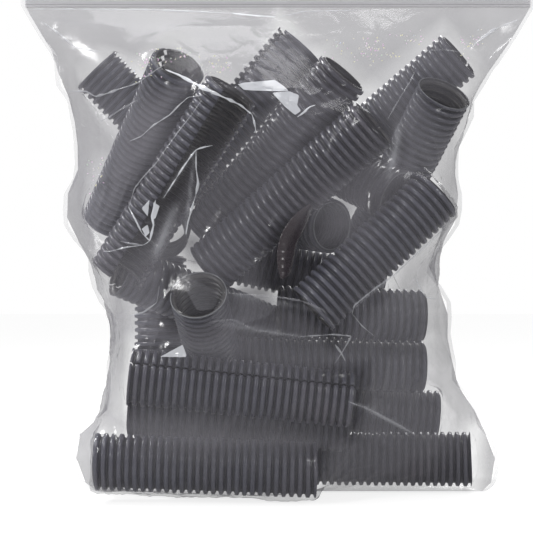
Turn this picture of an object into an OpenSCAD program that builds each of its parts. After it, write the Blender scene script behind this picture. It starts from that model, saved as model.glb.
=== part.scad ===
// A clear press-to-close bag packed with cut lengths of split corrugated conduit.
// The bag stands on its base. +X is along the zip, +Y points to the back, +Z is up.
// The origin is at the middle of the base. All sizes are in millimetres.

/* [Sleeves] */
// Outer diameter over the ribs
sleeve_od = 28.5; // [27.5:0.1:28.5]
// Bore, which is the nominal size of the conduit
sleeve_id = 23.7; // [22:0.1:24]
// Diameter at the foot of the ribs
rib_root_d = 25.3; // [24.8:0.1:26.5]
// Distance from one rib to the next
rib_pitch = 3.9; // [3:0.1:5]
// Width of a rib at its crest
rib_crest_w = 1.7; // [1:0.1:2]

/* [Bag] */
// Width of the flat bag along the zip
bag_w = 268; // [262:1:280]
// Height of the standing bag, from the base to the top of the lips
bag_h = 267; // [262:1:276]
// Thickness of a film wall, heavier than the real film so that it is a sound solid
film_t = 0.6; // [0.4:0.1:0.8]
// Least gap between a sleeve and the film
film_gap = 0.5; // [0.3:0.1:1]
// Width of a welded side seam outside the film
seam_w = 2.5; // [1.5:0.5:4]

/* [Zip] */
// Height of the middle of the zip above the base
zip_z = 253; // [252:0.5:254]
// Height of a zip track
track_h = 5; // [4:0.5:6]
// Thickness of a zip track
track_t = 1.6; // [1.4:0.1:2]
// How far the rib stands out of its track
rib_out = 0.8; // [0.5:0.1:1]
// Height of the rib
rib_h = 1.2; // [0.8:0.1:1.6]
// Thickness of a lip above the zip
lip_t = 0.6; // [0.4:0.1:1]

/* [Hidden] */
$fn = 64;
conduit_black = [0.10, 0.10, 0.11];
film_clear = [0.85, 0.86, 0.88, 0.35];
zip_white = [0.93, 0.94, 0.95, 0.8];

// Each sleeve: name, place of its middle [x, y, z], angle of its axis in the XZ plane,
// lean of its axis towards the back, roll of its slit, length, width of its slit.
// A roll of -90 turns the slit to the front and 90 to the back.
SLEEVES = [
    ["sleeve_01", [-36, -34, 18], -2, 0, 60, 110, 1.2],
    ["sleeve_02", [-18, -43, 57], -6, 1, -125, 110, 1.2],
    ["sleeve_03", [-20, -9, 39], -4, -1, 90, 112, 1.2],
    ["sleeve_04", [46, 11, 16], 0, -4, 100, 110, 1.2],
    ["sleeve_05", [33, 46, 39], -5, 1, 70, 110, 1.2],
    ["sleeve_06", [23, 21, 64.5], -2, 4, 60, 110, 1.2],
    ["sleeve_07", [38.5, 8, 91.5], -2, 6, -40, 76, 1.2],
    ["sleeve_08", [-64, 47, 67], 90, 3, 120, 110, 1.2],
    ["sleeve_09", [-35, 30, 94.5], -23, 22, 45, 110, 1.2],
    ["sleeve_10", [-36, -30, 86], -80, 52, 20, 56, 1.2],
    ["sleeve_11", [47, -47, 124], 43, 4, 70, 84, 1.2],
    ["sleeve_12", [31, 1, 168], -29, -31, 150, 75, 2.5],
    ["sleeve_13", [9, 8, 140], -9, -52, 180, 60, 1.2],
    ["sleeve_14", [6, -34, 151], 41, -12, 80, 110, 1.2],
    ["sleeve_15", [-2, -14, 173], 49, -16, 30, 110, 2],
    ["sleeve_16", [-22, 4, 193.5], 49, 0, -150, 101, 1.2],
    ["sleeve_17", [-52, -31, 158], 57, -13, -60, 110, 18],
    ["sleeve_18", [-71, 10, 180], 61, -38, 140, 110, 1.2],
    ["sleeve_19", [-60, 45, 184], -46, 5, 80, 110, 1.2],
    ["sleeve_20", [55, 30, 194], 40, -16, 60, 110, 1.2],
    ["sleeve_21", [66, 15, 165], 65, -34, 0, 105, 1.2],
    ["sleeve_22", [14, 48, 113], -12, -1, 90, 90, 1.2],
    ["sleeve_23", [-60, 14.5, 137], 90, 78, 0, 38, 1.2],
];

// Outline of the seams seen from the front: [height, x of the left seam, x of the right seam].
SEAMS = [
    [0, -92, 104], [10, -101, 112], [22, -99, 107], [34, -91, 92], [50, -81, 83],
    [75, -77, 77], [100, -82, 76], [120, -92, 75], [132, -97, 84], [146, -100, 90],
    [190, -103, 90], [208, -106, 98], [220, -110, 110], [235, -120, 120], [252, -130, 130],
];

film_top = zip_z - track_h / 2 - 0.3;
// Heights of the sections of the film: close together at the base and below the zip.
film_step = 8;
close_step = 4;
close_from = 218;
STATIONS = concat(
    [0, 3, 7, 12],
    [for (z = [18 : film_step : close_from]) z],
    [for (z = [close_from + close_step : close_step : film_top - close_step]) z],
    [film_top]
);
// Directions in which each half section of the film is measured: odd, so that one is straight out
film_sides = 21;
side_angle = 180 / film_sides;
// Radius of the film where its two walls close on each other
seam_r = 0.7;
// A sleeve pushes the film out over this height above and below it
spread = 60;
// Height below which the walls round in towards the base
base_round = 14;
// A sleeve pushes the film out by at least this much, and stays this far inside a side seam
least_push = 10;
seam_keep = 9;

// Places along each sleeve that the film has to clear, and their clearing radius
samples_each = 11;
end_inset = 5.5;
reach_r = norm([sleeve_od / 2, 5]) + film_gap;
function axis_of(s) = [cos(s[2]) * cos(s[3]), sin(s[3]), sin(s[2]) * cos(s[3])];
SAMPLES = [
    for (s = SLEEVES, i = [0 : samples_each - 1])
    s[1] + axis_of(s) * (s[5] / 2 - end_inset) * (2 * i / (samples_each - 1) - 1)
];

function seam_x(z, side) = lookup(z, [for (row = SEAMS) [row[0], row[side]]]);

// Share of a sleeve's bulge that is left at height z: the film runs straight up to the zip.
function bulge(z, p) = min(
    1 - pow((z - p.z) / spread, 2),
    z > p.z ? (film_top - z) / (film_top - p.z) : 1
);
function base_share(z) = sqrt(1 - pow(max(0, base_round - z) / (base_round + 2), 2));
function near(z, p) = max(0, abs(z - p.z) - (z > close_from ? close_step : film_step) / 2);

// How far the inside of the film stands out at height z in direction a.
function reach(z, a) = max([
    seam_x(z, 1) * cos(a) + seam_r,
    seam_x(z, 2) * cos(a) + seam_r,
    for (p = SAMPLES) if (near(z, p) < reach_r && z > 1 && z < film_top)
        p.x * cos(a) + p.y * sin(a) + sqrt(pow(reach_r, 2) - pow(near(z, p), 2)),
    for (p = SAMPLES) if (abs(z - p.z) < spread && bulge(z, p) > 0)
        min(max(p.x, seam_x(z, 1) + seam_keep), seam_x(z, 2) - seam_keep) * cos(a)
            + bulge(z, p) * (p.y * sin(a) + least_push * base_share(z)),
]);

// Where both walls meet at the left (end -1) or the right (end 1): far enough out for either wall.
function edge_x(z, end, out) =
    let (middle = end < 0 ? 180 : 0, tilt = side_angle / 2)
    end * (max(reach(z, middle - tilt), reach(z, middle + tilt)) + out) / cos(tilt);

// Half a section: from the left seam to the right one, front (side -1) or rear (side 1).
function half_section(z, side, out) =
    let (a = [for (k = [0 : film_sides - 1]) 180 - side * (k + 0.5) * side_angle])
    let (h = [for (v = a) reach(z, v) + out])
    concat(
        [[edge_x(z, -1, out), 0, z]],
        [for (k = [0 : film_sides - 2]) [
            (h[k] * sin(a[k + 1]) - h[k + 1] * sin(a[k])) / sin(a[k + 1] - a[k]),
            (h[k + 1] * cos(a[k]) - h[k] * cos(a[k + 1])) / sin(a[k + 1] - a[k]),
            z
        ]],
        [[edge_x(z, 1, out), 0, z]]
    );

function flat_list(rows) = [for (row = rows) each row];
function facing(side, f) = side < 0 ? f : [f[2], f[1], f[0]];

// A wall of film: an inner and an outer skin, closed along its four edges.
module film_wall(side) {
    rows = len(STATIONS);
    cols = film_sides + 1;
    inner = flat_list([for (z = STATIONS) half_section(z, side, 0)]);
    outer = flat_list([for (z = STATIONS) half_section(z, side, film_t)]);
    layer = rows * cols;
    skin = [for (r = [0 : rows - 2], c = [0 : cols - 2]) each [
        [r * cols + c, r * cols + c + 1, (r + 1) * cols + c + 1],
        [r * cols + c, (r + 1) * cols + c + 1, (r + 1) * cols + c]
    ]];
    rim = concat(
        [for (c = [0 : cols - 2]) [c, c + 1]],
        [for (r = [0 : rows - 2]) [(r + 1) * cols - 1, (r + 2) * cols - 1]],
        [for (c = [cols - 1 : -1 : 1]) [(rows - 1) * cols + c, (rows - 1) * cols + c - 1]],
        [for (r = [rows - 1 : -1 : 1]) [r * cols, (r - 1) * cols]]
    );
    faces = concat(
        [for (f = skin) [f[2], f[1], f[0]]],
        [for (f = skin) f + [layer, layer, layer]],
        [for (e = rim) each [[e[0], e[1], e[1] + layer], [e[0], e[1] + layer, e[0] + layer]]]
    );
    polyhedron(concat(inner, outer), [for (f = faces) facing(side, f)], convexity = 6);
}

// The front and rear walls of film, from the base to the zip
module front_film() {
    color(film_clear) film_wall(-1);
}

module rear_film() {
    color(film_clear) film_wall(1);
}

// The folded bottom of the bag, pressed flat by what stands on it
module base_film() {
    front = [for (p = half_section(0, -1, 0)) [p.x, p.y]];
    rear = [for (p = half_section(0, 1, 0)) [p.x, p.y]];
    rear_back = [for (i = [len(rear) - 2 : -1 : 1]) rear[i]];
    color(film_clear) linear_extrude(film_t) polygon(concat(front, rear_back));
}

// A welded seam: a narrow band outside the edge where the two walls meet
module side_seam(side) {
    edge = [for (z = STATIONS) [edge_x(z, side, film_t), 0, z]];
    last = len(edge) - 1;
    points = [for (p = edge) each [
        [p.x, -seam_r, p.z], [p.x, seam_r, p.z],
        [p.x + side * seam_w, seam_r, p.z], [p.x + side * seam_w, -seam_r, p.z]
    ]];
    walls = [for (i = [0 : last - 1], k = [0 : 3]) each [
        [4 * i + k, 4 * i + (k + 1) % 4, 4 * i + 4 + (k + 1) % 4],
        [4 * i + k, 4 * i + 4 + (k + 1) % 4, 4 * i + 4 + k]
    ]];
    ends = [
        [2, 1, 0], [3, 2, 0],
        [4 * last, 4 * last + 1, 4 * last + 2], [4 * last, 4 * last + 2, 4 * last + 3]
    ];
    faces = concat(walls, ends);
    color(zip_white) polyhedron(points, [for (f = faces) facing(side, f)], convexity = 4);
}

module left_seam() {
    side_seam(-1);
}

module right_seam() {
    side_seam(1);
}

// Both tracks stop short of the fused ends of the zip.
zip_end_w = 3;
track_l = bag_w - 2 * zip_end_w - 0.6;
track_gap = 0.15;
rib_clear = 0.2;

// The rear track with its rib
module rear_zip_rib() {
    color(zip_white) union() {
        translate([-track_l / 2, track_gap, zip_z - track_h / 2]) cube([track_l, track_t, track_h]);
        translate([-track_l / 2, track_gap - rib_out, zip_z - rib_h / 2])
            cube([track_l, rib_out + track_t / 2, rib_h]);
    }
}

// The front track with the groove that the rib presses into
module front_zip_groove() {
    groove_h = rib_h + 2 * rib_clear;
    color(zip_white) difference() {
        translate([-track_l / 2, -track_gap - track_t, zip_z - track_h / 2])
            cube([track_l, track_t, track_h]);
        translate([-track_l / 2 - 1, -rib_out - rib_clear, zip_z - groove_h / 2])
            cube([track_l + 2, rib_out + rib_clear, groove_h]);
    }
}

// The lips above the tracks, which the fingers pull apart
module lip(side) {
    lip_z = zip_z + track_h / 2;
    lip_y = side < 0 ? -track_gap - track_t : track_gap + track_t - lip_t;
    color(film_clear) translate([-track_l / 2, lip_y, lip_z]) cube([track_l, lip_t, bag_h - lip_z]);
}

module front_lip() {
    lip(-1);
}

module rear_lip() {
    lip(1);
}

// The ends of the zip, where both tracks and lips are fused together
module zip_end(side) {
    x = side < 0 ? -bag_w / 2 : bag_w / 2 - zip_end_w;
    low = film_top + 0.3;
    color(zip_white) translate([x, -seam_r, low]) cube([zip_end_w, 2 * seam_r, bag_h - low]);
}

module left_zip_end() {
    zip_end(-1);
}

module right_zip_end() {
    zip_end(1);
}

// Wall section of a sleeve of length l: ribs outside, a plain bore inside
module sleeve_section(l) {
    ribs = floor((l - 1) / rib_pitch);
    start = (l - ribs * rib_pitch) / 2;
    flank = (rib_pitch - rib_crest_w) / 4;
    polygon(concat(
        [[sleeve_id / 2, 0], [rib_root_d / 2, 0]],
        [for (i = [0 : ribs - 1]) let (z = start + (i + 0.5) * rib_pitch) each [
            [rib_root_d / 2, z - rib_crest_w / 2 - flank], [sleeve_od / 2, z - rib_crest_w / 2],
            [sleeve_od / 2, z + rib_crest_w / 2], [rib_root_d / 2, z + rib_crest_w / 2 + flank]
        ]],
        [[rib_root_d / 2, l], [sleeve_id / 2, l]]
    ));
}

// One length of conduit, slit from end to end, where it lies in the bag
module sleeve(s) {
    l = s[5];
    slit = s[6];
    color(conduit_black) translate(s[1]) rotate([0, -s[2], 0]) rotate([0, 0, s[3]]) rotate([0, 90, 0])
        rotate([0, 0, s[4]]) translate([0, 0, -l / 2]) difference() {
            rotate_extrude() sleeve_section(l);
            translate([0, -slit / 2, -1]) cube([sleeve_od, slit, l + 2]);
        }
}

// A narrow piece cut lengthwise from a sleeve and sprung open, which lies edge on in front of them
strip_middle = [28, -43, 121];
strip_r = [20, 29];
strip_depth = 7;
strip_t = 1.5;
strip_from = 115;
strip_turn = 88;
module curled_strip() {
    color(conduit_black) translate(strip_middle) rotate([90, -strip_from, 0])
        rotate_extrude(angle = strip_turn) polygon([
            [strip_r[0], 0], [strip_r[0] + strip_t, 0],
            [strip_r[1], strip_depth - strip_t], [strip_r[1], strip_depth],
            [strip_r[1] - strip_t, strip_depth]
        ]);
}

BAG_NODES = [
    "front_film", "rear_film", "base_film", "left_seam", "right_seam", "front_zip_groove",
    "rear_zip_rib", "front_lip", "rear_lip", "left_zip_end", "right_zip_end",
];

front_film();
rear_film();
base_film();
left_seam();
right_seam();
front_zip_groove();
rear_zip_rib();
front_lip();
rear_lip();
left_zip_end();
right_zip_end();
curled_strip();
for (s = SLEEVES) sleeve(s);
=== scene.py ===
"""Looks for a clear press-to-close bag packed with cut lengths of split corrugated conduit.

Lengths are in metres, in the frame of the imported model: +X along the zip, +Y to the back, +Z up.
"""
import colorsys
import math
import random

import bpy
import numpy as np
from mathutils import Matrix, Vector, noise
from mathutils.kdtree import KDTree


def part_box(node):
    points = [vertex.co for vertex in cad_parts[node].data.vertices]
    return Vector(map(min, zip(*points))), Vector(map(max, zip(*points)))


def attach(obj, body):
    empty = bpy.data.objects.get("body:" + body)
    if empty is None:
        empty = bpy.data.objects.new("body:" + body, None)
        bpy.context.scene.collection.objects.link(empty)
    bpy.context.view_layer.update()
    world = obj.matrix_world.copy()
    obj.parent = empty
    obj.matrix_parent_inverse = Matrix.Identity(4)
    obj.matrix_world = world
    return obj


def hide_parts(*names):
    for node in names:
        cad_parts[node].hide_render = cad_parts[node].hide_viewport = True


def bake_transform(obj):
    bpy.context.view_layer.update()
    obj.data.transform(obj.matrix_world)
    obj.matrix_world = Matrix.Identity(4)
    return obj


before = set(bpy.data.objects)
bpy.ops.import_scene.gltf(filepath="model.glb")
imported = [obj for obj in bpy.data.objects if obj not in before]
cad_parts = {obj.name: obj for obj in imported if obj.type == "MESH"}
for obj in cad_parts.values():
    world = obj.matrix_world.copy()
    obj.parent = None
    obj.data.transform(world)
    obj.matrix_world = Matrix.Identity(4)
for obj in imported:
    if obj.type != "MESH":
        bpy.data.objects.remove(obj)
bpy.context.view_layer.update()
MM = 0.001

# ---------------------------------------------------------------- the camera and the light
VIEW_DISTANCE = 0.8
VIEW_WIDTH = 0.2756
VIEW_MIDDLE = (-0.0059, 0.1165)
# How strongly the white surroundings light the object
AMBIENT = 0.42
# The pale floor: half its width, how bright it shows, and how bright it is as a light
FLOOR_HALF = 3.0
FLOOR_SHOWN = 0.80
FLOOR_LIGHT = 0.25
# What the soft boxes look at
BAG_MIDDLE = (0, 0, 0.13)
# Soft boxes: name, place, size and power
SOFT_BOXES = [
    ("top_box", (-0.10, -0.15, 0.95), 0.45, 2.8),
    ("left_box", (-0.75, -0.70, 0.65), 0.14, 4),
    ("upper_left_box", (-0.60, 0.25, 0.76), 0.22, 6),
    ("right_box", (0.65, -0.85, 0.50), 0.16, 2),
    ("back_box", (0.30, 0.90, 0.60), 0.40, 4),
]


def make_camera():
    """A level camera in front of the bag, which sees as much of it as the photograph does."""
    data = bpy.data.cameras.new("camera")
    data.sensor_width = 36
    data.lens = data.sensor_width * VIEW_DISTANCE / VIEW_WIDTH
    data.clip_start = 0.01
    camera = bpy.data.objects.new("camera", data)
    camera.location = (VIEW_MIDDLE[0], -VIEW_DISTANCE, VIEW_MIDDLE[1])
    camera.rotation_euler = (math.radians(90), 0, 0)
    bpy.context.scene.collection.objects.link(camera)
    bpy.context.scene.camera = camera


def make_light(name, place, size, power):
    """A square soft box that looks at the middle of the bag."""
    data = bpy.data.lights.new(name, "AREA")
    data.size = size
    data.energy = power
    light = bpy.data.objects.new(name, data)
    light.location = place
    light.rotation_euler = (Vector(BAG_MIDDLE) - Vector(place)).to_track_quat("-Z", "Y").to_euler()
    bpy.context.scene.collection.objects.link(light)


def white_backdrop(tree, socket, shown, lighting):
    """Gives socket one strength where the camera sees it, and another where it lights the object."""
    path = tree.nodes.new("ShaderNodeLightPath")
    strength = tree.nodes.new("ShaderNodeMapRange")
    strength.inputs["To Min"].default_value = lighting
    strength.inputs["To Max"].default_value = shown
    tree.links.new(path.outputs["Is Camera Ray"], strength.inputs["Value"])
    tree.links.new(strength.outputs["Result"], socket)


def make_studio():
    """White surroundings that light the object less than they show, soft boxes, and a pale floor."""
    scene = bpy.context.scene
    scene.view_settings.view_transform = "Standard"
    world = bpy.data.worlds.new("studio")
    world.use_nodes = True
    background = world.node_tree.nodes["Background"]
    background.inputs["Color"].default_value = (1, 1, 1, 1)
    white_backdrop(world.node_tree, background.inputs["Strength"], 1.0, AMBIENT)
    scene.world = world
    for box in SOFT_BOXES:
        make_light(*box)
    mesh = bpy.data.meshes.new("floor")
    corners = [(x * FLOOR_HALF, y * FLOOR_HALF, 0) for x, y in ((-1, -1), (1, -1), (1, 1), (-1, 1))]
    mesh.from_pydata(corners, [], [(0, 1, 2, 3)])
    floor = bpy.data.objects.new("floor", mesh)
    scene.collection.objects.link(floor)
    paint = bpy.data.materials.new("floor_white")
    paint.use_nodes = True
    shader = paint.node_tree.nodes["Principled BSDF"]
    shader.inputs["Base Color"].default_value = (0.35, 0.35, 0.35, 1)
    shader.inputs["Roughness"].default_value = 0.9
    shader.inputs["Emission Color"].default_value = (1, 1, 1, 1)
    white_backdrop(paint.node_tree, shader.inputs["Emission Strength"], FLOOR_SHOWN, FLOOR_LIGHT)
    mesh.materials.append(paint)


# ---------------------------------------------------------------- materials
# The crests of the conduit, from a bluish to a reddish cast: (level of the noise, colour)
CRESTS = [(0.30, (0.068, 0.071, 0.096)), (0.55, (0.084, 0.083, 0.104)), (0.75, (0.104, 0.095, 0.114))]
# The grooves: black plastic darkened with painted shade
GROOVE_BLACK_AND_SHADE = (0.014, 0.014, 0.019)
INSIDE_COLOUR = (0.040, 0.036, 0.027)
WARM_COLOUR = (0.026, 0.016, 0.020)
# Painted highlight on the cut ends of a sleeve
CUT_END_HIGHLIGHT = (0.20, 0.21, 0.22)
# How much a groove is duller than a crest
GROOVE_DULL = 0.25
# The most that clouds, an edge-on view and a crease with its painted highlight add to the veil of the film
VEIL_CLOUD = 0.07
VEIL_EDGE = 0.30
VEIL_CREASE = 0.55
# White of the painted highlights on creases, folds and glare patches, and of the milkier zip, welds and
# double film
WHITENED = (0.85, 0.87, 0.92)
# The colours of the painted glints in the film: (level of the noise, hue, saturation)
GLINT_HUES = [(0.30, 0.62, 0.3), (0.42, 0.15, 0.5), (0.50, 0.0, 0.0), (0.58, 0.85, 0.45), (0.70, 0.33, 0.3)]


class Nodes:
    """A short way to write a material's nodes."""

    def __init__(self, name):
        self.material = bpy.data.materials.new(name)
        self.material.use_nodes = True
        self.tree = self.material.node_tree
        self.shader = self.tree.nodes["Principled BSDF"]

    def add(self, kind, links=None, **settings):
        """A node with its settings and its linked inputs."""
        node = self.tree.nodes.new("ShaderNode" + kind)
        for key, value in settings.items():
            if hasattr(node, key):
                setattr(node, key, value)
            else:
                node.inputs[key.replace("_", " ")].default_value = value
        for key, source in (links or {}).items():
            self.tree.links.new(source, node.inputs[key])
        return node

    def ramp(self, source, *stops):
        """A colour ramp. Each stop is a place with a grey level or a colour."""
        node = self.tree.nodes.new("ShaderNodeValToRGB")
        self.tree.links.new(source, node.inputs["Fac"])
        elements = node.color_ramp.elements
        while len(elements) < len(stops):
            elements.new(0.5)
        for element, (place, value) in zip(elements, stops):
            element.position = place
            element.color = (*value, 1) if hasattr(value, "__len__") else (value, value, value, 1)
        return node.outputs["Color"]

    def math(self, operation, a, b):
        """The result of an operation on two values, each a socket or a number."""
        node = self.tree.nodes.new("ShaderNodeMath")
        node.operation = operation
        for socket, value in zip(node.inputs, (a, b)):
            if isinstance(value, (int, float)):
                socket.default_value = value
            else:
                self.tree.links.new(value, socket)
        return node.outputs["Value"]

    def mix(self, factor, low, high):
        """A blend of two colours, each a socket or three numbers."""
        node = self.tree.nodes.new("ShaderNodeMix")
        node.data_type = "RGBA"
        self.tree.links.new(factor, node.inputs["Factor"])
        for socket, value in ((node.inputs[6], low), (node.inputs[7], high)):
            if isinstance(value, bpy.types.NodeSocket):
                self.tree.links.new(value, socket)
            else:
                socket.default_value = (*value, 1)
        return node.outputs[2]

    def set(self, **values):
        """Sets or links inputs of the shader."""
        for key, value in values.items():
            name = key.replace("_", " ")
            if isinstance(value, bpy.types.NodeSocket):
                self.tree.links.new(value, self.shader.inputs[name])
            else:
                self.shader.inputs[name].default_value = value


def conduit_material():
    """Black extruded polypropylene: rubbed, dusty crests over grooves darkened with painted shade, with a
    faint colour cast.

    The inside is a little brown, some sleeves are a darker reddish black, and the cut ends get a painted
    pale highlight.
    """
    n = Nodes("conduit_black")
    place = n.add("NewGeometry").outputs["Position"]
    rise, inside, warm, cut = (
        n.add("Attribute", attribute_name=key).outputs["Fac"] for key in ("rise", "inside", "warm", "cut")
    )
    cast = n.add("TexNoise", {"Vector": place}, Scale=22.0, Detail=3.0).outputs["Fac"]
    dust = n.add("TexNoise", {"Vector": place}, Scale=420.0, Detail=5.0, Roughness=0.7).outputs["Fac"]
    scuff = n.add("TexNoise", {"Vector": place}, Scale=1500.0, Detail=2.0).outputs["Fac"]
    # From groove to crest: painted shade in the grooves, dusty and rubbed crests
    colour = n.mix(n.ramp(rise, (0.0, 0.0), (0.9, 1.0)), GROOVE_BLACK_AND_SHADE, n.ramp(cast, *CRESTS))
    colour = n.mix(n.math("MULTIPLY", inside, 0.7), colour, INSIDE_COLOUR)
    colour = n.mix(warm, colour, WARM_COLOUR)
    # Painted highlight on the cut ends
    colour = n.mix(cut, colour, CUT_END_HIGHLIGHT)
    groove = n.math("MULTIPLY", n.math("SUBTRACT", 1.0, rise), GROOVE_DULL)
    rough = n.math("ADD", n.ramp(dust, (0.3, 0.17), (0.7, 0.30)), groove)
    bump = n.add("Bump", {"Height": scuff}, Strength=0.12, Distance=0.0002)
    n.set(Base_Color=colour, Roughness=rough, IOR=1.5, Normal=bump.outputs["Normal"])
    return n.material


def film_material(name, shade, touching, clear_of):
    """Clear polythene: a thin grey veil that thickens where the film stands off what is behind it.

    shade is its colour, and touching and clear_of are the veil on a sleeve and well away from one.
    Along its creases, folds and glare patches the film gets painted highlights, whiter and less clear, and
    fine wrinkles break up its gloss.
    """
    n = Nodes(name)
    place = n.add("NewGeometry").outputs["Position"]
    gap = n.add("Attribute", attribute_name="gap").outputs["Fac"]
    crease = n.add("Attribute", attribute_name="crease").outputs["Fac"]
    cloud = n.add("TexNoise", {"Vector": place}, Scale=30.0, Detail=5.0, Roughness=0.6).outputs["Fac"]
    streak = n.add("TexNoise", {"Vector": place}, Scale=190.0, Detail=4.0, Distortion=1.5).outputs["Fac"]
    edge = n.add("LayerWeight", Blend=0.2).outputs["Facing"]
    veil = n.math("ADD", touching, n.math("MULTIPLY", gap, clear_of - touching))
    veil = n.math("ADD", veil, n.ramp(cloud, (0.35, 0.0), (0.8, VEIL_CLOUD)))
    veil = n.math("ADD", veil, n.math("MULTIPLY", edge, VEIL_EDGE))
    veil = n.math("ADD", veil, n.math("MULTIPLY", crease, VEIL_CREASE))
    # Painted highlight where the crease attribute is high; the zip, welds and double film take their milkier
    # colour from it too
    colour = n.mix(crease, shade, WHITENED)
    rough = n.ramp(cloud, (0.3, 0.10), (0.7, 0.22))
    bump = n.add("Bump", {"Height": streak}, Strength=0.14, Distance=0.0005)
    n.set(Base_Color=colour, Roughness=rough, IOR=1.55, Alpha=veil, Normal=bump.outputs["Normal"])
    n.set(Specular_IOR_Level=0.75)
    return n.material


def glint_material():
    """Painted glints: coloured flecks that stand for light split into colours by tiny scratches in the film.
    """
    n = Nodes("film_glint")
    place = n.add("NewGeometry").outputs["Position"]
    speck = n.add("TexNoise", {"Vector": place}, Scale=330.0, Detail=1.0).outputs["Fac"]
    stops = [(level, colorsys.hsv_to_rgb(hue, saturation, 1)) for level, hue, saturation in GLINT_HUES]
    n.set(Base_Color=n.ramp(speck, *stops), Roughness=0.2, Alpha=0.85)
    return n.material


# ---------------------------------------------------------------- meshes
def new_piece(name, vertices, faces, material, **attributes):
    """A smooth mesh object. Each attribute is one number for each vertex, for its material."""
    mesh = bpy.data.meshes.new(name)
    mesh.from_pydata(np.asarray(vertices).tolist(), [], np.asarray(faces).tolist())
    mesh.materials.append(material)
    mesh.polygons.foreach_set("use_smooth", [True] * len(mesh.polygons))
    for key, values in attributes.items():
        layer = mesh.attributes.new(key, "FLOAT", "POINT")
        layer.data.foreach_set("value", np.asarray(values, np.float32).ravel())
    mesh.update()
    piece = bpy.data.objects.new(name, mesh)
    bpy.context.scene.collection.objects.link(piece)
    return piece


def grid_faces(rows, columns, start=0, flip=False, close=False):
    """Quads of a grid of vertices, row by row. close joins each row's last vertex to its first."""
    r, c = np.mgrid[0 : rows - 1, 0 : columns if close else columns - 1]
    after = (c + 1) % columns
    this, above = r * columns, (r + 1) * columns
    quads = np.stack([this + c, this + after, above + after, above + c], -1).reshape(-1, 4) + start
    return quads[:, ::-1] if flip else quads


def rim_faces(rows, columns):
    """Quads that join the border of a grid to the border of a second grid, whose vertices come after it."""
    size = rows * columns
    grid = np.arange(size).reshape(rows, columns)
    rim = np.concatenate([grid[0, :-1], grid[:-1, -1], grid[-1, :0:-1], grid[:0:-1, 0]])
    after = np.roll(rim, -1)
    return np.stack([after, rim, rim + size, after + size], 1)


# ---------------------------------------------------------------- the sleeves
SLEEVE_R = 14.25 * MM
ROOT_R = 12.45 * MM
WALL = 0.55 * MM
RIB_PITCH = 3.85 * MM
# One rib from the middle of a groove to the next: (share of the pitch, share of the height)
RIB_UP = [(0.0, 0.0), (0.13, 0.04), (0.20, 0.45), (0.28, 0.92), (0.40, 1.0)]
RIB_DOWN = [(0.60, 1.0), (0.72, 0.92), (0.80, 0.45), (0.87, 0.04)]
# Vertices around a sleeve
AROUND = 56
# How far a sleeve stays inside its CAD solid
INSET = 0.1 * MM
# A sleeve isn't quite round along its length: by how much, with how many lobes, and how far they turn
WOBBLE = 0.10 * MM
LOBES = 5
LOBE_TURN = 40
# Radians for each degree of roll, so that no two sleeves wobble alike
LOBE_START = 9
# The tucked edge goes in over about one part in this many of the way around
TUCK_REACH = 9
# The higher, the nearer to its ends a sleeve's slant begins
SLANT_POWER = 8
# The outermost share of a CAD sleeve's radius, where its crests are
CREST_SHARE = 0.96
# Turns of fitting a circle to the crests
FIT_TURNS = 6


def sleeve_lie(name):
    """A sleeve's middle, its axis, the ways down and back across it, and its length, from its CAD solid."""
    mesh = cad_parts[name].data
    points = np.empty(len(mesh.vertices) * 3)
    mesh.vertices.foreach_get("co", points)
    points = np.unique(points.reshape(-1, 3).round(6), axis=0)
    middle = points.mean(0)
    axis = np.linalg.svd(points - middle, full_matrices=False)[2][0]
    if axis[2] < -0.9 or (abs(axis[2]) < 0.9 and axis[0] < 0):
        axis = -axis
    back = np.array([0.0, 1.0, 0.0])
    back -= axis * (back @ axis)
    back /= np.linalg.norm(back)
    down = np.cross(back, axis)
    for _ in range(FIT_TURNS):
        flat = np.stack([(points - middle) @ down, (points - middle) @ back], 1)
        crest = flat[np.linalg.norm(flat, axis=1) > CREST_SHARE * SLEEVE_R]
        fit = np.linalg.lstsq(np.c_[2 * crest, np.ones(len(crest))], (crest**2).sum(1), rcond=None)[0]
        middle = middle + down * fit[0] + back * fit[1]
    along = (points - middle) @ axis
    middle = middle + axis * (along.max() + along.min()) / 2
    return middle, axis, down, back, along.max() - along.min()


def rib_stations(length, phase):
    """Places along a sleeve, and how far each stands between the groove (0) and the crest (1)."""
    count = int(length / RIB_PITCH) + 3
    rows = [((k + s) * RIB_PITCH - phase * RIB_PITCH, h) for k in range(count) for s, h in RIB_UP + RIB_DOWN]
    inside = [(z, h) for z, h in rows if 0.1 * MM < z < length - 0.1 * MM]
    first = np.interp(0, *zip(*rows))
    last = np.interp(length, *zip(*rows))
    return np.array([(0, first), *inside, (length, last)])


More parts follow.
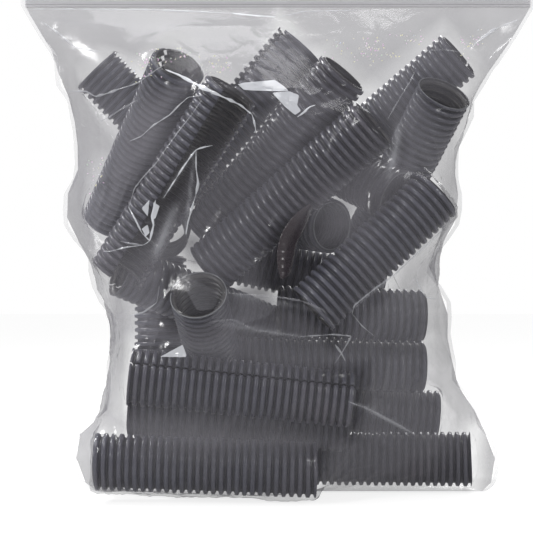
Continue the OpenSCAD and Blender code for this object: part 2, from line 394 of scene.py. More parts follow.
def make_sleeve(
    name, material, roll=0, slit=1.2, oval=0.03, phase=0.4, cut=(0, 0), gape=0, step=0.4, warm=0, pale=0
):
    """A length of split corrugated conduit in the place of its CAD solid.

    roll turns the slit from below (0) to the back (90), in degrees. slit is its width, gape how much
    it widens towards the +axis end, cut how far its two ends slant, and step how far one edge of the
    slit is tucked in, all in millimetres. oval is how flat it is, and phase where its first rib lies.
    warm is how reddish black it is, and pale is how much its cut ends catch the light.
    """
    middle, axis, down, back, length = sleeve_lie(name)
    rows = rib_stations(length, phase)
    s = rows[:, :1]
    rise = rows[:, 1:]
    along = s / length
    half = (slit + gape * along) * MM / 2 / SLEEVE_R
    share = np.linspace(0, 1, AROUND)[None, :]
    angle = half + (2 * math.pi - 2 * half) * share
    turn = angle + math.radians(roll)
    tuck = step * MM * np.exp(-(((share - 1) * TUCK_REACH) ** 2))
    wobble = WOBBLE * np.sin(LOBES * angle + LOBE_TURN * along + LOBE_START * roll) * along * (1 - along) * 4
    shape = 1 - oval * (1 - np.cos(2 * turn)) / 2
    outer = (ROOT_R + (SLEEVE_R - ROOT_R) * rise) * shape - tuck + wobble - INSET
    inner = outer - WALL
    slant = np.where(along < 0.5, cut[0], cut[1]) * np.abs(2 * along - 1) ** SLANT_POWER
    lift = s - length / 2 + slant * MM * np.cos(angle + 1.0)
    lift = np.clip(lift, -length / 2, length / 2)
    layers = []
    for radius in (outer, inner):
        flat = radius[..., None] * (np.cos(turn)[..., None] * down + np.sin(turn)[..., None] * back)
        layers.append((middle + lift[..., None] * axis + flat).reshape(-1, 3))
    count = len(rows)
    size = count * AROUND
    faces = [grid_faces(count, AROUND), grid_faces(count, AROUND, size, flip=True)]
    faces.append(rim_faces(count, AROUND))
    rises = np.broadcast_to(rise, (count, AROUND)).ravel()
    # Painted highlight: the first and last rows, at the cut ends, get the pale share
    ends = np.zeros((count, AROUND))
    ends[[0, -1]] = pale
    piece = new_piece(
        name + "_conduit", np.concatenate(layers), np.concatenate(faces), material,
        rise=np.tile(rises, 2), inside=np.repeat([0.0, 1.0], size),
        warm=np.full(2 * size, warm), cut=np.tile(ends.ravel(), 2),
    )
    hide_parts(name)
    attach(piece, "root")


# What is particular to each sleeve: see make_sleeve.
SLEEVES = {
    "sleeve_01": dict(roll=60, cut=(0.6, 0.9), phase=0.1),
    "sleeve_02": dict(roll=-125, slit=1.6, step=0.9, phase=0.5),
    "sleeve_03": dict(roll=90, cut=(1, 0.5)),
    "sleeve_04": dict(roll=100, phase=0.8, cut=(0.5, 0.8)),
    "sleeve_05": dict(roll=70),
    "sleeve_06": dict(roll=10, slit=2.5, gape=3),
    "sleeve_07": dict(roll=170, slit=3, gape=3),
    "sleeve_08": dict(roll=120),
    "sleeve_09": dict(roll=45, slit=1.5),
    "sleeve_10": dict(roll=20, cut=(0.5, 0.5), pale=0.8),
    "sleeve_11": dict(roll=70, phase=0.2),
    "sleeve_12": dict(roll=150, slit=2.5, warm=0.6, pale=0.7),
    "sleeve_13": dict(roll=180, slit=1.5, pale=0.9),
    "sleeve_14": dict(roll=80, phase=0.7, oval=0.05, warm=0.15),
    "sleeve_15": dict(roll=30, slit=2, gape=1.5, warm=0.3),
    "sleeve_16": dict(roll=-150, slit=3, gape=5),
    "sleeve_17": dict(roll=-60, slit=17, gape=3, oval=0.02),
    "sleeve_18": dict(roll=140, slit=2),
    "sleeve_19": dict(roll=80, slit=2, gape=3),
    "sleeve_20": dict(roll=60, slit=2),
    "sleeve_21": dict(roll=0, slit=2, pale=0.5),
    "sleeve_22": dict(roll=90),
    "sleeve_23": dict(roll=0),
}


# The curled strip is an arc in the XZ plane: its middle, its two radii and where it starts and ends
STRIP_MIDDLE = (28 * MM, 121 * MM)
STRIP_RADII = (20.1 * MM, 28.9 * MM)
STRIP_ARC = (math.radians(116), math.radians(202))
STRIP_WALL = 0.7 * MM
# The strip bulges to the front across its width, and ripples along its length.
STRIP_BULGE = 1.4 * MM
STRIP_RIPPLE = 0.25 * MM
STRIP_WAVES = 70
# How far it starts behind the front of its CAD solid, and how much of the depth it leaves free
STRIP_START = 1.8 * MM
STRIP_MARGIN = 2 * MM


def make_strip(material):
    """The piece cut lengthwise from a sleeve: a glossy reddish crescent, broad in the middle."""
    low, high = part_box("curled_strip")
    along, across = 60, 12
    share = np.linspace(0, 1, along)[:, None]
    v = np.linspace(0, 1, across)[None, :]
    turn = STRIP_ARC[0] + (STRIP_ARC[1] - STRIP_ARC[0]) * share
    broad = (STRIP_RADII[1] - STRIP_RADII[0]) * np.clip(4 * share * (1.06 - share), 0.12, 1) ** 0.45
    ripple = STRIP_RIPPLE * np.sin(share * STRIP_WAVES) * share
    radius = STRIP_RADII[1] - broad * v
    bulge = np.sin(v * math.pi) * STRIP_BULGE
    front = low.y + (high.y - low.y - STRIP_MARGIN) * v + STRIP_START - bulge + ripple
    layers = []
    for back in (0, STRIP_WALL):
        x = STRIP_MIDDLE[0] + radius * np.cos(turn)
        z = STRIP_MIDDLE[1] + radius * np.sin(turn)
        layers.append(np.stack([x, front + back, z], -1).reshape(-1, 3))
    size = along * across
    faces = [grid_faces(along, across), grid_faces(along, across, size, flip=True), rim_faces(along, across)]
    rise = np.full(2 * size, 1.0)
    piece = new_piece(
        "curled_strip_conduit", np.concatenate(layers), np.concatenate(faces), material,
        rise=rise, inside=0 * rise, warm=rise, cut=0 * rise,
    )
    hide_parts("curled_strip")
    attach(piece, "root")


# ---------------------------------------------------------------- the film
# How far the film stays off the sleeves and off the floor
FILM_CLEAR = 0.45 * MM
FILM_FLOOR = 0.3 * MM
# Columns and rows of the coarsest sheet. Each finer one has about twice as many.
FILM_COLUMNS = 25
FILM_ROWS = 31
# The sheet starts as a box: half its depth, how far it stands beyond the seams, and how soon it gets there
BOX_DEPTH = 0.07
BOX_OVER = 0.030
BOX_RAMP = 0.02
# Turns of pulling tight at each fineness of the sheet, coarse first
TURNS = [500, 260, 140, 40]
# At this many of them, the coarsest, a point that has slipped past a sleeve is put back
MENDED = 2
# A point inside a sleeve has slipped past it when its way out leads into the bag by more than this share
# of its length, and doesn't lead down by more than that
SLIP = 0.35
# The most that a point moves in one turn, so that it seldom jumps through a sleeve
MAX_MOVE = 2.5 * MM
# Film that stands this far off the sleeves is fully hazy. Clouds, and the painted shade on the rear wall,
# can take it to these limits.
HAZE_GAP = 9 * MM
FRONT_HAZIEST = 1.3
REAR_HAZE_AND_SHADE_LIMIT = 2.6
# Slack film is freely folded from this many rows and columns in from the edges of the finest sheet
HOLD_ROWS = 14
HOLD_COLUMNS = 9


def seam_line(name):
    """The inner edge of a side seam, as heights and the x at each of them."""
    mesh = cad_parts[name].data
    points = np.array([v.co for v in mesh.vertices])
    heights = np.unique(points[:, 2].round(5))
    pick = max if name == "left_seam" else min
    return heights, np.array([pick(points[abs(points[:, 2] - z) < 2e-5, 0]) for z in heights])


def resample(path, count):
    """count points spread evenly along a path."""
    gone = np.concatenate([[0], np.cumsum(np.linalg.norm(np.diff(path, axis=0), axis=1))])
    want = np.linspace(0, gone[-1], count)
    return np.stack([np.interp(want, gone, path[:, k]) for k in range(path.shape[1])], 1)


class Tubes:
    """All the sleeves as solid cylinders that the film can't enter."""

    def __init__(self, names, gap):
        lies = [sleeve_lie(n) for n in names]
        self.middle = np.array([v[0] for v in lies])
        self.axis = np.array([v[1] for v in lies])
        self.reach = np.array([v[4] for v in lies]) / 2 + gap
        self.radius = SLEEVE_R + gap

    def depths(self, points):
        """For each sleeve: how deep each point is under its side and its ends, and which way is out."""
        for middle, axis, reach in zip(self.middle, self.axis, self.reach):
            d = points - middle
            along = d @ axis
            out = d - along[:, None] * axis
            radius = np.linalg.norm(out, axis=1)
            yield axis, along, out, radius, self.radius - radius, reach - abs(along)

    def push_out(self, points, facing, mend):
        """Moves each point that is inside a sleeve to its nearest surface.

        facing is -1 for the front wall and 1 for the rear wall. With mend, a point that has slipped
        past a sleeve goes back over it, to the side that faces out.
        """
        for axis, along, out, radius, deep_side, deep_end in self.depths(points):
            inside = (deep_side > 0) & (deep_end > 0)
            inwards = (out[:, 1] * facing < -SLIP * radius) & (out[:, 2] > -SLIP * radius)
            slipped = inside & inwards & mend
            side = inside & (deep_side <= deep_end) & ~slipped
            end = inside & ~side & ~slipped
            over = np.array([0.0, facing, 0.0]) - axis * axis[1] * facing
            over *= self.radius / np.linalg.norm(over)
            points[side] += out[side] / radius[side, None] * deep_side[side, None]
            points[end] += axis * (np.sign(along[end]) * deep_end[end])[:, None]
            points[slipped] += over - out[slipped]
        return points

    def gap(self, points):
        """How far each point is from the nearest sleeve."""
        gaps = [np.maximum(-np.minimum(v[4], v[5]), 0) for v in self.depths(points)]
        return np.min(gaps, axis=0)


def start_sheet(side, rows, columns):
    """A box-shaped sheet outside all the sleeves: from the bottom fold over the floor and up to the zip."""
    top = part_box("front_zip_groove")[0].z
    section = [[0, FILM_FLOOR], [BOX_DEPTH, FILM_FLOOR], [BOX_DEPTH, top - BOX_RAMP], [0, top]]
    section = resample(np.array(section), rows)
    left, right = seam_line("left_seam"), seam_line("right_seam")
    sheet = np.zeros((rows, columns, 3))
    for j, (y, z) in enumerate(section):
        xl, xr = np.interp(z, *left), np.interp(z, *right)
        over = BOX_OVER * min(1, y / BOX_RAMP)
        corners = np.array([[xl, 0], [xl - over, y], [0, y], [xr + over, y], [xr, 0]])
        half = (columns + 1) // 2
        sheet[j, :half, :2] = resample(corners[:3], half)
        sheet[j, half - 1 :, :2] = resample(corners[2:], half)
        sheet[j, :, 2] = z
        if z < 2 * FILM_FLOOR:
            sheet[j, 0] = [xl, 0, FILM_FLOOR]
            sheet[j, -1] = [xr, 0, FILM_FLOOR]
    sheet[:, :, 1] *= side
    return sheet


def relax(sheet, tubes, turns, side, mend):
    """Pulls the sheet tight over the sleeves, with its four edges held and its middle column at x = 0."""
    middle = sheet.shape[1] // 2
    for _ in range(turns):
        inner = sheet[1:-1, 1:-1]
        move = (sheet[:-2, 1:-1] + sheet[2:, 1:-1] + sheet[1:-1, :-2] + sheet[1:-1, 2:]) / 4 - inner
        length = np.linalg.norm(move, axis=2, keepdims=True)
        inner = inner + move * np.minimum(1, MAX_MOVE / np.maximum(length, 1e-9))
        flat = tubes.push_out(inner.reshape(-1, 3), side, mend)
        flat[:, 2] = np.maximum(flat[:, 2], FILM_FLOOR)
        sheet[1:-1, 1:-1] = flat.reshape(inner.shape)
        sheet[:, middle, 0] = 0
    return sheet


def double(sheet):
    """The same sheet with twice the rows and columns."""
    rows, columns, _ = sheet.shape
    out = np.zeros((rows * 2 - 1, columns * 2 - 1, 3))
    out[::2, ::2] = sheet
    out[1::2, ::2] = (sheet[:-1] + sheet[1:]) / 2
    out[:, 1::2] = (out[:, :-2:2] + out[:, 2::2]) / 2
    return out


def outward(sheet, side):
    """The outward normal at each point of a sheet."""
    n = np.cross(np.gradient(sheet, axis=1), np.gradient(sheet, axis=0))
    n /= np.maximum(np.linalg.norm(n, axis=2, keepdims=True), 1e-9)
    return n * -side


def ridge_noise(x, y, z):
    """Thin wandering lines: 1 along them, and 0 away from them."""
    return max(0, 1 - 2.4 * abs(noise.noise(Vector((x, y, z)))))


def fold_noise(points, seed):
    """Height in millimetres of the soft folds and fine ridges of slack film at each point, from 0 up."""
    lift = np.empty(len(points))
    for k, (x, y, z) in enumerate((points * 1000).tolist()):
        bend = 6 * noise.noise(Vector((x / 40, seed, z / 40)))
        soft = noise.noise(Vector((x / 24, y / 24 + seed, z / 32)))
        ridge = ridge_noise((x + bend) / 15 + seed, y / 15, z / 30 + seed)
        cross = ridge_noise(x / 22 - seed, y / 22, (z + bend) / 10)
        fine = ridge_noise((x + bend) / 5 + seed, y / 5, (z - bend) / 7)
        lift[k] = 0.35 + 0.8 * soft + 0.9 * ridge**4 + 0.6 * cross**4 + 0.22 * fine**3
    return np.maximum(lift, 0)


# Where the front wall is drawn smooth: place (x, z) and radius in millimetres
SMOOTH = [((-38, 102), 20), ((15, 122), 16), ((-70, 190), 30), ((-90, 215), 25), ((60, 205), 25)]
# How much of its folds smooth film loses
SMOOTH_CALM = 0.85
# From this height up, over this rise, the film hangs flatter from the zip, and loses this much of its folds.
FLAT_ABOVE = 0.200
FLAT_RISE = 0.02
FLAT_CALM = 0.75


def slack(points, side):
    """How freely the film folds at each point: less where it is drawn smooth."""
    free = 1 - FLAT_CALM * np.clip((points[:, 2] - FLAT_ABOVE) / FLAT_RISE, 0, 1)
    if side < 0:
        for (x, z), radius in SMOOTH:
            away = np.hypot(points[:, 0] - x * MM, points[:, 2] - z * MM) / (radius * MM)
            free = free * (1 - SMOOTH_CALM * np.exp(-(away**4)))
    return free


def edge_hold(rows, columns):
    """How free each point is: 0 at the held edges, 1 a little way in."""
    down = np.minimum(np.arange(rows), rows - 1 - np.arange(rows)) / HOLD_ROWS
    across = np.minimum(np.arange(columns), columns - 1 - np.arange(columns)) / HOLD_COLUMNS
    return np.minimum(down, 1)[:, None] * np.minimum(across, 1)[None]


def crease_at(points, side):
    """Height in millimetres of the creases, and whiteness of their painted highlight, at each point of a
    sheet.
    """
    lift = np.zeros(len(points))
    white = np.zeros(len(points))
    flat = points[:, [0, 2]]
    for (x1, z1), (x2, z2), height, width, shine in CREASES if side < 0 else REAR_CREASES:
        a, b = np.array([x1, z1]) * MM, np.array([x2, z2]) * MM
        t = np.clip((flat - a) @ (b - a) / ((b - a) @ (b - a)), 0, 1)
        away = np.linalg.norm(flat - a - t[:, None] * (b - a), axis=1) / MM
        taper = np.sqrt(np.maximum(4 * (t * 0.94 + 0.03) * (0.97 - t * 0.94), 0))
        lift = np.maximum(lift, height * taper * np.exp(-away / width))
        white = np.maximum(white, shine * taper * np.exp(-((away / (0.45 * width)) ** 2)))
    return lift, white


def make_film(side, name, material, tubes, seed):
    """A wall of the bag with its lip, in a left and a right half that meet at x = 0."""
    sheet = start_sheet(side, FILM_ROWS, FILM_COLUMNS)
    for k, turns in enumerate(TURNS):
        sheet = relax(double(sheet) if k else sheet, tubes, turns, side, k < MENDED)
    rows, columns, _ = sheet.shape
    points = sheet.reshape(-1, 3)
    hold = edge_hold(rows, columns)
    crease, white = crease_at(points, side)
    lift = fold_noise(points, seed) * slack(points, side) + crease
    lift = lift.reshape(rows, columns) * hold * MM
    sheet = sheet + outward(sheet, side) * lift[..., None]
    sheet[:, columns // 2, 0] = 0
    lip = lip_rows(sheet[-1], side)
    sheet = np.concatenate([sheet, lip])
    sheet[..., 2] = np.maximum(sheet[..., 2], FILM_FLOOR)
    normals = outward(sheet, side)
    gap = np.clip(tubes.gap(sheet.reshape(-1, 3)) / HAZE_GAP, 0, 1).reshape(len(sheet), columns)
    gap = cloudy(sheet, gap, side)
    white = np.concatenate([white.reshape(rows, columns), np.zeros((len(lip), columns))])
    halves = {}
    for half, part in (("left", slice(None, columns // 2 + 1)), ("right", slice(columns // 2, None))):
        points = sheet[:, part].reshape(-1, 3)
        width = sheet[:, part].shape[1]
        piece = new_piece(
            f"{name}_{half}", points, grid_faces(len(sheet), width, flip=side > 0), material,
            gap=gap[:, part], crease=white[:, part],
        )
        piece.data.normals_split_custom_set_from_vertices(normals[:, part].reshape(-1, 3).tolist())
        halves[half] = piece
    return halves, Surface(sheet[: -len(lip)], normals[: -len(lip)], side)


def cloudy(sheet, gap, side):
    """The haze of a wall, with its cloudier and clearer patches, and the rear wall's patches of painted
    shade.
    """
    for (x, z), radius, amount in CLOUDS if side < 0 else REAR_SHADE_PATCHES:
        away = np.hypot(sheet[..., 0] - x * MM, sheet[..., 2] - z * MM) / (radius * MM)
        gap = gap + amount * np.exp(-(away**2))
    return np.clip(gap, 0, FRONT_HAZIEST if side < 0 else REAR_HAZE_AND_SHADE_LIMIT)


# The lip: its rows, how far its edge stays below its CAD solid's, how far it stands out, and its waves
LIP_ROWS = 12
LIP_INSET = 0.4 * MM
LIP_OUT = 0.9
LIP_WAVE = 1.6
# The waves begin this share of the way up.
LIP_CALM = 0.35


def lip_rows(edge, side):
    """The film above the zip: it runs up through the track to the top of the lip, slightly wavy."""
    low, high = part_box("front_zip_groove")[0].z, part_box("front_lip")[1].z
    reach = abs(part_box("front_lip")[0].x)
    rows = np.zeros((LIP_ROWS, len(edge), 3))
    for j in range(LIP_ROWS):
        share = (j + 1) / LIP_ROWS
        widen = np.clip(edge[:, 0] / abs(edge[0, 0]), -1, 1) * reach
        rows[j, :, 0] = edge[:, 0] + (widen - edge[:, 0]) * min(1, share * 3)
        rows[j, :, 2] = low + (high - low - LIP_INSET) * share
        for i, x in enumerate(rows[j, :, 0]):
            sway = noise.noise(Vector((x * 38, share * 0.7, side * 5.0)))
            wave = sway * LIP_WAVE * max(0, share - LIP_CALM)
            rows[j, i, 1] = side * (LIP_OUT + wave) * MM
    return rows


# Where these tables come from: the points of the front folds, glare and double patches were picked by eye
# in the photograph, and a scratch script turned them into millimetres. The rear wall's are made up.
# Soft folds of the front wall: from (x, z) to (x, z) in millimetres, height, width and whiteness of their
# painted highlight
CREASES = [
    ((-50, 146), (-60, 121), 0.8, 5, 0.30),
    ((58, 185), (53, 160), 0.8, 4, 0.30),
    ((-120, 243), (-70, 238), 0.5, 5, 0.12),
    ((-70, 238), (-10, 239), 0.5, 4, 0.10),
    ((-40, 173), (-56, 150), 1.5, 1.5, 0.3),
    ((-40, 173), (-45, 132), 1.5, 1.5, 0.3),
    ((-55, 114), (-57, 91), 1.2, 2.0, 0.1),
    ((-28, 104), (25, 95), 1.4, 2.5, 0.2),
    ((-33, 90), (11, 83), 1.4, 2.5, 0.2),
    ((35, 97), (81, 136), 1.4, 1.6, 0.3),
    ((34, 52), (67, 33), 1.4, 2.0, 0.3),
    ((112, 239), (99, 229), 1.4, 2.0, 0.4),
]
REAR_CREASES = [
    ((-80, 200), (-30, 170), 1.6, 1.6, 0.6),
    ((60, 210), (20, 160), 1.6, 1.5, 0.6),
    ((-50, 120), (30, 100), 1.5, 1.6, 0.5),
    ((-60, 60), (40, 50), 1.5, 1.6, 0.5),
]
# Sharp folds with a painted highlight: their course as (x, z) in millimetres, width and whiteness
FRONT_FOLDS = [
    ([(-32, 175), (-37, 174), (-40, 173), (-46, 165), (-52, 156), (-56, 150)], 1.0, 1.0),
    ([(-40, 173), (-40, 164), (-39, 157), (-40, 152), (-44, 138), (-45, 132)], 1.2, 0.9),
    ([(-56, 214), (-49, 211), (-41, 206), (-35, 202), (-27, 198), (-18, 194), (-13, 190)], 2.2, 1.0),
    ([(-13, 190), (-12, 187), (-11, 182), (-12, 181)], 1.1, 0.9),
    ([(-37, 199), (-44, 199), (-49, 195), (-53, 191), (-62, 186), (-68, 181), (-74, 179)], 1.0, 0.7),
    (
        [(-37, 197), (-42, 190), (-48, 183), (-55, 174), (-60, 167), (-67, 160), (-71, 155), (-74, 145)],
        0.9, 0.6,
    ),
    ([(-74, 146), (-70, 139), (-67, 133), (-63, 129)], 1.2, 0.9),
    ([(-60, 149), (-62, 141), (-61, 137), (-63, 129)], 1.6, 1.0),
    ([(-63, 129), (-66, 127), (-75, 126), (-83, 124), (-87, 124)], 1.1, 0.8),
    ([(-66, 127), (-74, 128), (-78, 129)], 0.8, 0.6),
    (
        [(-108, 207), (-98, 206), (-93, 203), (-87, 204), (-80, 206), (-71, 208), (-64, 212), (-57, 216)],
        1.2, 0.6,
    ),
    ([(-91, 190), (-85, 192), (-78, 196), (-67, 201)], 1.0, 0.5),
    ([(-74, 92), (-66, 94), (-59, 99), (-58, 107)], 1.2, 0.6),
    ([(81, 136), (71, 127), (56, 113), (46, 106), (36, 98), (35, 94), (40, 88), (46, 83)], 1.1, 0.6),
    ([(67, 112), (70, 106), (74, 101), (80, 100)], 1.2, 0.8),
    ([(10, 83), (26, 84), (35, 83), (31, 76), (27, 70)], 1.0, 0.6),
    ([(27, 79), (30, 75), (32, 71)], 1.0, 0.6),
    ([(33, 52), (42, 48), (50, 43), (67, 33)], 1.2, 0.5),
    ([(-28, 104), (-17, 103), (-1, 102), (11, 100), (21, 96), (27, 87)], 1.2, 0.3),
    ([(-33, 90), (-22, 91), (-11, 86), (11, 83)], 1.2, 0.3),
    ([(69, 215), (66, 209), (59, 198), (53, 188)], 0.8, 0.5),
    ([(75, 226), (85, 227), (93, 226)], 0.7, 0.5),
    ([(124, 244), (112, 239), (105, 234), (99, 229)], 1.8, 0.8),
    ([(9, 189), (12, 191), (15, 194), (18, 195)], 1.3, 1.0),
    ([(-122, 243), (-112, 236), (-104, 229), (-91, 226)], 1.4, 0.7),
    ([(-128, 249.6), (-106, 249.4), (-70, 249.2), (-44, 248), (-24, 246.8)], 1.0, 0.9),
    ([(-24, 246.8), (-10, 245.2), (-1, 244.6)], 2.4, 1.0),
    ([(1, 244.6), (8, 246.4), (14, 248), (40, 248.6)], 1.0, 0.7),
]
REAR_FOLDS = [
    ([(-80, 200), (-62, 190), (-48, 183), (-30, 170)], 1.2, 0.7),
    ([(60, 210), (44, 190), (36, 178), (20, 160)], 1.2, 0.7),
    ([(-50, 120), (-20, 114), (8, 104), (30, 100)], 1.1, 0.6),
    ([(-60, 60), (-22, 58), (10, 54), (40, 50)], 1.1, 0.6),
    ([(60, 120), (70, 96), (66, 70)], 1.0, 0.5),
]
# Painted reflections of a lamp, flat patches painted white: their corners as (x, z) in millimetres
FRONT_GLARE = [
    [(-20, 205), (-17, 206), (-2, 208), (2, 205), (5, 202), (-3, 202), (-17, 202)],
    [(-3, 201), (5, 202), (10, 200), (9, 195), (11, 192), (8, 190), (3, 194)],
    [(-63, 149), (-67, 145), (-64, 141)],
    [(-58, 146), (-60, 140), (-62, 139), (-61, 148)],
    [(-67, 135), (-64, 137), (-63, 133), (-65, 131)],
    [(-57, 73), (-46, 79), (-44, 73)],
]
# Patches where the front film lies double and looks greyer: their corners as (x, z) in millimetres
FRONT_DOUBLE = [
    [(-50, 114), (-28, 104), (-31, 96), (-39, 95)],
    [(-27, 103), (-12, 102), (1, 99), (-6, 92), (-22, 88), (-33, 92)],
]
REAR_GLARE = [
    [(-30, 190), (-20, 194), (-14, 188), (-24, 184)],
    [(20, 120), (28, 124), (33, 117), (24, 114)],
]
# Where the front wall is cloudier (above 0) or clearer: place (x, z), radius in millimetres, and how much
CLOUDS = [
    ((-90, 165), 26, 0.5),
    ((-62, 178), 13, 0.4),
    ((-84, 112), 22, 0.9),
    ((58, 168), 13, 0.7),
    ((68, 48), 18, 0.5),
    ((62, 215), 22, 0.2),
    ((50, 125), 28, 0.45),
    ((27, 137), 14, 0.3),
    ((10, 92), 16, -0.3),
    ((6, 130), 20, -1.1),
    ((4, 108), 13, -0.9),
    ((-20, 45), 45, 0.25),
    ((-60, 18), 30, 0.2),
    ((60, 18), 40, 0.2),
]
# Painted shade on the rear wall, darker grey patches behind the shaded gaps between sleeves: place (x, z)
# and radius in millimetres, and how much
REAR_SHADE_PATCHES = [
    ((-9, 102), 11, 1.8),
    ((32, 147), 8, 1.6),
    ((-47, 127), 9, 1.8),
    ((-20, 99), 6, 1.5),
    ((-46, 73), 6, 1.5),
]
# Patches of tiny coloured painted glints on the front wall, in millimetres: place (x, z), half size, and
# number
GLINTS = [
    ((-66, 219), (10, 8), 46),
    ((-47, 222), (6, 3), 14),
    ((-30, 216), (7, 6), 30),
    ((29, 226), (4, 6), 14),
    ((47, 225), (12, 9), 60),
    ((70, 232), (11, 4), 22),
    ((99, 231), (7, 7), 30),
    ((-92, 163), (5, 14), 18),
]


# Parts of a wall that face the front or the back by less than this share are left out of the look-up.
FACING_LEAST = 0.15


class Surface:
    """The part of a wall that faces to the front (side -1) or to the back, looked up by x and z."""

    def __init__(self, sheet, normals, side):
        self.points = sheet.reshape(-1, 3)
        self.normals = normals.reshape(-1, 3)
        facing = np.flatnonzero(self.normals[:, 1] * side > FACING_LEAST)
        self.tree = KDTree(len(facing))
        for k in facing.tolist():
            self.tree.insert((self.points[k, 0], 0, self.points[k, 2]), k)
        self.tree.balance()

    def at(self, x, z, lift):
        """The point lift outside the wall, and the outward normal there."""
        found = self.tree.find_n((x, 0, z), 4)
        weight = np.array([1 / (1e-6 + f[2]) for f in found])
        keys = [f[1] for f in found]
        normal = weight @ self.normals[keys]
        normal /= np.linalg.norm(normal)
        point = np.array([x, weight @ self.points[keys, 1] / weight.sum(), z])
        return point + lift * normal, normal


# Sharp folds: how far apart their points are, how far off the wall, their height and least half width
FOLD_STEP = 0.7 * MM
FOLD_LIFT = 0.12 * MM
FOLD_RISE = 0.45 * MM
FOLD_LEAST = 0.10 * MM
# How far glare patches and glints lie off the wall
GLARE_LIFT = 0.3 * MM
GLINT_LIFT = 0.25 * MM
GLARE_RINGS = 5
# How white a glare patch (a painted reflection) and a double patch of film are
GLARE_WHITE = 0.95
DOUBLE_WHITE = 0.10


def fold_strip(surface, course, width, seed):
    """A sharp fold: a narrow ridge that follows its course over the wall and runs out at both ends."""
    course = np.array(course) * MM
    length = np.linalg.norm(np.diff(course, axis=0), axis=1).sum()
    course = resample(course, max(6, int(length / FOLD_STEP)))
    course[1:-1] = (course[:-2] + course[1:-1] + course[2:]) / 3
    rows = []
    for k, (x, z) in enumerate(course):
        share = k / (len(course) - 1)
        fade = (4 * share * (1 - share)) ** 0.4
        spark = 0.7 + 0.8 * noise.noise(Vector((x * 260, seed, z * 260)))
        half = max(FOLD_LEAST, width * MM / 2 * fade * spark)
        base, normal = surface.at(x, z, FOLD_LIFT)
        ahead = course[min(k + 1, len(course) - 1)] - course[max(k - 1, 0)]
        across = np.cross(normal, (ahead[0], 0, ahead[1]))
        across *= half / max(np.linalg.norm(across), 1e-9)
        rows.append([base - across, base + normal * FOLD_RISE * fade * spark, base + across])
    return np.array(rows).reshape(-1, 3), grid_faces(len(rows), 3)


def glare_patch(surface, corners):
    """A patch with straight edges that lies on the wall, as rings from its middle out to its edge."""
    corners = np.array(corners) * MM
    edge = resample(np.concatenate([corners, corners[:1]]), 6 * len(corners) + 1)[:-1]
    middle = edge.mean(0)
    points = []
    for ring in range(GLARE_RINGS):
        share = max(0.02, ring / (GLARE_RINGS - 1))
        points += [surface.at(*(middle + share * (p - middle)), GLARE_LIFT)[0] for p in edge]
    return np.array(points), grid_faces(GLARE_RINGS, len(edge), close=True)


def glint_patch(surface, place, size, count, rng):
    """Tiny flat flecks, thrown over an oval patch of the wall."""
    points = []
    for _ in range(count):
        x = (place[0] + rng.gauss(0, 0.5) * size[0]) * MM
        z = (place[1] + rng.gauss(0, 0.5) * size[1]) * MM
        base = surface.at(x, z, GLINT_LIFT)[0]
        turn = rng.uniform(0, math.pi)
        long, short = rng.uniform(0.25, 0.8) * MM, rng.uniform(0.15, 0.35) * MM
        u = np.array([math.cos(turn), 0, math.sin(turn)]) * long
        v = np.array([-math.sin(turn), 0, math.cos(turn)]) * short
        points += [base - u, base + v, base + u, base - v]
    return np.array(points), np.arange(4 * count).reshape(-1, 4)


def joined(parts):
    """Several meshes, each its points and faces, as one."""
    points, faces, start = [], [], 0
    for p, f in parts:
        points.append(p)
        faces += [[v + start for v in face] for face in np.asarray(f).tolist()]
        start += len(p)
    return np.concatenate(points), faces


def make_folds(side, name, surface, material, sparkle):
    """The sharp folds, glare patches and glints of a wall, one piece of each kind for each half."""
    folds, glares = (FRONT_FOLDS, FRONT_GLARE) if side < 0 else (REAR_FOLDS, REAR_GLARE)
    rng = random.Random(5)
    kinds = {"folds": [], "glints": []}
    for k, (course, width, white) in enumerate(folds):
        points, faces = fold_strip(surface, course, width, k * 3.7)
        kinds["folds"].append((points, faces, white))
    kinds["folds"] += [(*glare_patch(surface, corners), GLARE_WHITE) for corners in glares]
    if side < 0:
        kinds["folds"] += [(*glare_patch(surface, corners), DOUBLE_WHITE) for corners in FRONT_DOUBLE]
        kinds["glints"] = [(*glint_patch(surface, *patch, rng), 1.0) for patch in GLINTS]
    for kind, parts in kinds.items():
        for half in ("left", "right"):
            chosen = [p for p in parts if (p[0][:, 0].mean() < 0) == (half == "left")]
            if not chosen:
                continue
            points, faces = joined([p[:2] for p in chosen])
            white = np.concatenate([np.full(len(p[0]), p[2]) for p in chosen])
            piece = new_piece(
                f"{name}_{kind}_{half}", points, faces, sparkle if kind == "glints" else material,
                gap=np.zeros(len(points)), crease=white,
            )
            yield half, piece


# A zip track, in millimetres: its two faces off the middle of the bag, its fine ridges and its broad bead
ZIP_INNER = 0.2
ZIP_OUTER = 0.75
ZIP_RIDGE = 0.12
ZIP_RIDGES = 7
ZIP_BEAD = 0.30
# How white a zip track and a weld are
ZIP_WHITE = 0.12
WELD_WHITE = 0.15
# A weld: the width of its band, its overlap on the film, its crimps and its waves
WELD_BAND = 2.0 * MM
WELD_OVERLAP = 0.3 * MM
WELD_CRIMP = 0.12 * MM
WELD_WAVE = 0.4 * MM


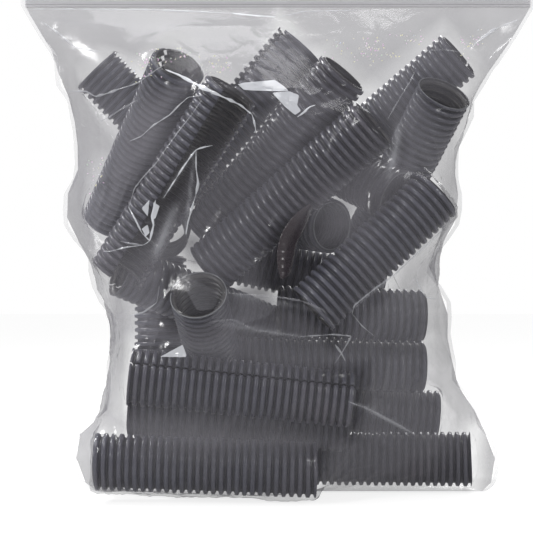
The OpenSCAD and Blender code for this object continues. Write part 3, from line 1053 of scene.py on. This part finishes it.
def make_zip(side, node, name, material):
    """A zip track: a flat strip with rounded ridges, fused to the film, in halves that meet at x = 0."""
    low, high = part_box(node)
    across = 25
    height = high.z - low.z
    z = np.linspace(0.02, 0.98, across)
    ridges = np.clip(np.sin(z * math.pi * ZIP_RIDGES), 0, 1)
    bead = np.exp(-(((z - 0.5) / 0.2) ** 2))
    outside = (ZIP_OUTER + (ZIP_RIDGE * ridges + ZIP_BEAD * bead)) * MM
    section = [(side * o, low.z + height * v) for o, v in zip(outside, z)]
    section += [(side * ZIP_INNER * MM, low.z + height * v) for v in z[::-1]]
    for half, (x1, x2) in {"left": (low.x, 0), "right": (0, high.x)}.items():
        stations = np.linspace(x1, x2, 40)
        points = np.array([[(x, y, v) for y, v in section] for x in stations]).reshape(-1, 3)
        count = len(section)
        faces = grid_faces(len(stations), count, close=True, flip=side > 0)
        piece = new_piece(
            f"{name}_{half}", points, faces, material,
            gap=np.ones(len(points)), crease=np.full(len(points), ZIP_WHITE),
        )
        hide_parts(node)
        yield half, piece


def make_weld(side, name, seam, end, material):
    """A welded side edge: a narrow crimped band beyond the film, up past the fused end of the zip."""
    heights, xs = seam_line(seam)
    low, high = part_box(end)
    path = [(x, z) for x, z in zip(xs, heights) if z < low.z]
    inner_x = high.x if side < 0 else low.x
    path += [(inner_x, low.z + 1 * MM), (inner_x, high.z)]
    path = resample(np.array(path), 220)
    rows = []
    for x, z in path:
        wave = WELD_CRIMP * math.sin(z * 900) + WELD_WAVE * noise.noise(Vector((side, z * 60, 0)))
        inner = (x - side * WELD_OVERLAP, 0, z)
        middle = (x + side * WELD_BAND * 0.5, wave, z)
        outer = (x + side * WELD_BAND, wave * 0.4, z)
        rows.append([inner, middle, outer])
    points = np.array(rows).reshape(-1, 3)
    points[:, 2] = np.maximum(points[:, 2], FILM_FLOOR)
    piece = new_piece(
        name, points, grid_faces(len(path), 3), material,
        gap=np.ones(len(points)), crease=np.full(len(points), WELD_WHITE),
    )
    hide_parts(seam, end)
    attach(piece, "root")


def open_with(piece, half):
    """Bakes the piece's placement into its mesh.
    """
    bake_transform(piece)


def make_bag(clear, milky, sparkle, tubes):
    """Both walls with their lips, the tracks of the zip and the welded side edges."""
    walls = (
        (-1, "front", ("front_film", "base_film", "front_lip"), "front_zip_groove", 3.0),
        (1, "rear", ("rear_film", "rear_lip"), "rear_zip_rib", 11.0),
    )
    for side, name, nodes, track, seed in walls:
        halves, surface = make_film(side, name + "_wall", clear, tubes, seed)
        for half, piece in make_folds(side, name, surface, clear, sparkle):
            open_with(piece, half)
        for half, piece in halves.items():
            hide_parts(*nodes)
            open_with(piece, half)
        for half, piece in make_zip(side, track, name + "_track", milky):
            open_with(piece, half)
    make_weld(-1, "left_weld", "left_seam", "left_zip_end", milky)
    make_weld(1, "right_weld", "right_seam", "right_zip_end", milky)


make_camera()
make_studio()
conduit = conduit_material()
clear = film_material("film_clear", (0.238, 0.232, 0.262), 0.06, 0.33)
milky = film_material("film_milky", (0.80, 0.79, 0.81), 0.27, 0.31)
sparkle = glint_material()
for sleeve, looks in SLEEVES.items():
    make_sleeve(sleeve, conduit, **looks)
make_strip(conduit)
make_bag(clear, milky, sparkle, Tubes(SLEEVES, FILM_CLEAR))
